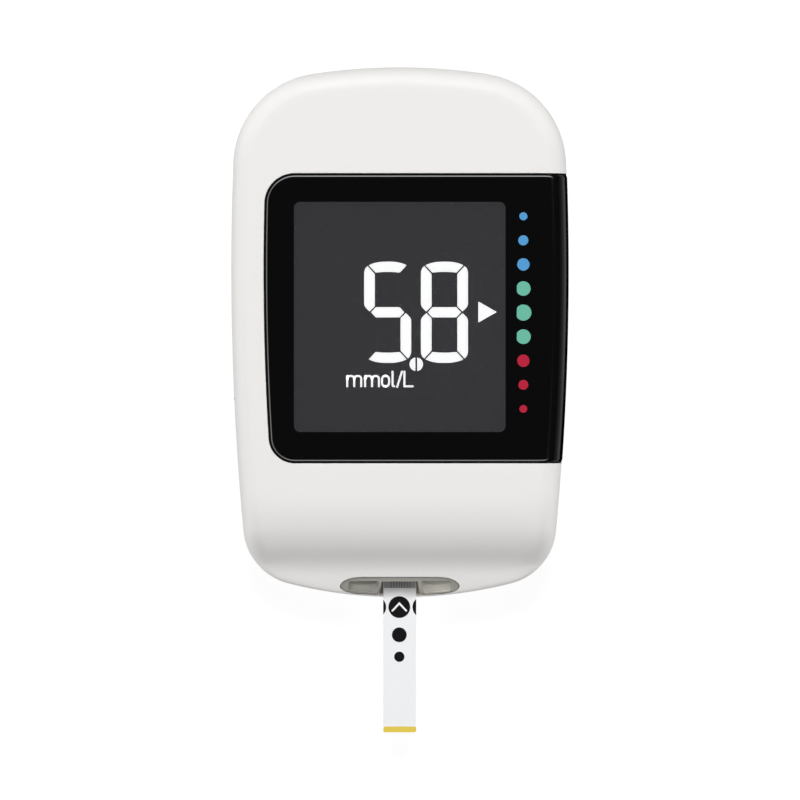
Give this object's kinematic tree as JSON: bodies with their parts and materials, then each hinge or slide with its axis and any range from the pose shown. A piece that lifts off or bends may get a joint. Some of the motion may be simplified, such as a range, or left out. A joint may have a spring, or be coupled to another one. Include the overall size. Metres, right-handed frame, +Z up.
{
  "type": "blood glucose meter",
  "caption": "Hand-held blood glucose meter: white rounded case, black display lens wrapped over one side, side buttons, strip port with ejector, coin-cell door.",
  "frame": {"origin": "on the flat back that the meter rests on, at the middle of the case's length and width", "axes": "+Z up through the display, +Y towards the top end with the USB socket, -Y towards the test strip, +X towards the button side"},
  "size_m": [0.0493, 0.0967, 0.0153],
  "materials": {
    "case": "satin off-white moulding",
    "lens_black": "polished black acrylic",
    "window": "clear polished acrylic",
    "tape": "foam adhesive tape",
    "dots": "blue, green and red print under the lens",
    "glass": "clear display glass",
    "polariser": "dark grey film",
    "segments": "lit white segments",
    "white_frame": "white moulded frame",
    "guide": "milky acrylic",
    "led": "yellow resin",
    "zebra": "layered silicone rubber",
    "board": "green solder mask",
    "chip": "black epoxy",
    "ceramic": "ceramic",
    "metal": "plated sheet metal",
    "gold": "gold-plated spring metal",
    "button": "black satin moulding",
    "plunger": "grey plastic",
    "ejector": "grey satin moulding",
    "connector": "black moulding",
    "smoke": "smoky translucent moulding",
    "strip": "white film with black print",
    "screw": "zinc-plated steel"
  },
  "bodies": {
    "case": {"front_cover": "case", "rear_cover": "case", "lens_frame": "lens_black", "window_pane": "window", "lens_tape": "tape", "range_dots": "dots", "front_polariser": "polariser", "lcd_front_glass": "glass", "lcd_segments": "segments", "lcd_rear_glass": "glass", "rear_polariser": "polariser", "lcd_holder": "white_frame", "light_guide": "guide", "backlight_leds": "led", "zebra_strip": "zebra", "main_board": "board", "microcontroller": "chip", "memory_chip": "chip", "radio_chip": "chip", "antenna": "white_frame", "crystal": "metal", "buzzer": "chip", "chip_capacitors": "ceramic", "upper_switch": "metal", "middle_switch": "metal", "lower_switch": "metal", "left_cell": "metal", "right_cell": "metal", "negative_contacts": "gold", "positive_contacts": "gold", "strip_connector": "connector", "strip_contacts": "gold", "port_insert": "smoke", "usb_shell": "metal", "usb_tongue": "connector", "case_screws": "screw", "board_screws": "screw"},
    "upper_key": {"upper_button": "button", "upper_plunger": "plunger"},
    "middle_key": {"middle_button": "button", "middle_plunger": "plunger"},
    "lower_key": {"lower_button": "button", "lower_plunger": "plunger"},
    "ejector": {"ejector_slider": "ejector"},
    "strip": {"test_strip": "strip"},
    "door": {"battery_door": "case"}
  },
  "joints": [
    {"name": "upper_press", "type": "slide", "parent": "case", "child": "upper_key", "axis": [-1, 0, 0], "range_m": [0, 0.0005], "stiffness_N_per_m": 600, "springref_m": -0.0005},
    {"name": "middle_press", "type": "slide", "parent": "case", "child": "middle_key", "axis": [-1, 0, 0], "range_m": [0, 0.0005], "stiffness_N_per_m": 600, "springref_m": -0.0005},
    {"name": "lower_press", "type": "slide", "parent": "case", "child": "lower_key", "axis": [-1, 0, 0], "range_m": [0, 0.0005], "stiffness_N_per_m": 600, "springref_m": -0.0005},
    {"name": "ejector_slide", "type": "slide", "parent": "case", "child": "ejector", "axis": [0, -1, 0], "range_m": [0, 0.0075]},
    {"name": "strip_slide", "type": "slide", "parent": "case", "child": "strip", "axis": [0, -1, 0], "range_m": [0, 0.0075]},
    {"name": "door_hinge", "type": "hinge", "parent": "case", "child": "door", "pos_m": [0, 0.02835, 0.00085], "axis": [1, 0, 0], "range_deg": [0, 72]}
  ],
  "couplings": [
    {"joint": "strip_slide", "follows": "ejector_slide", "ratio": 1}
  ]
}
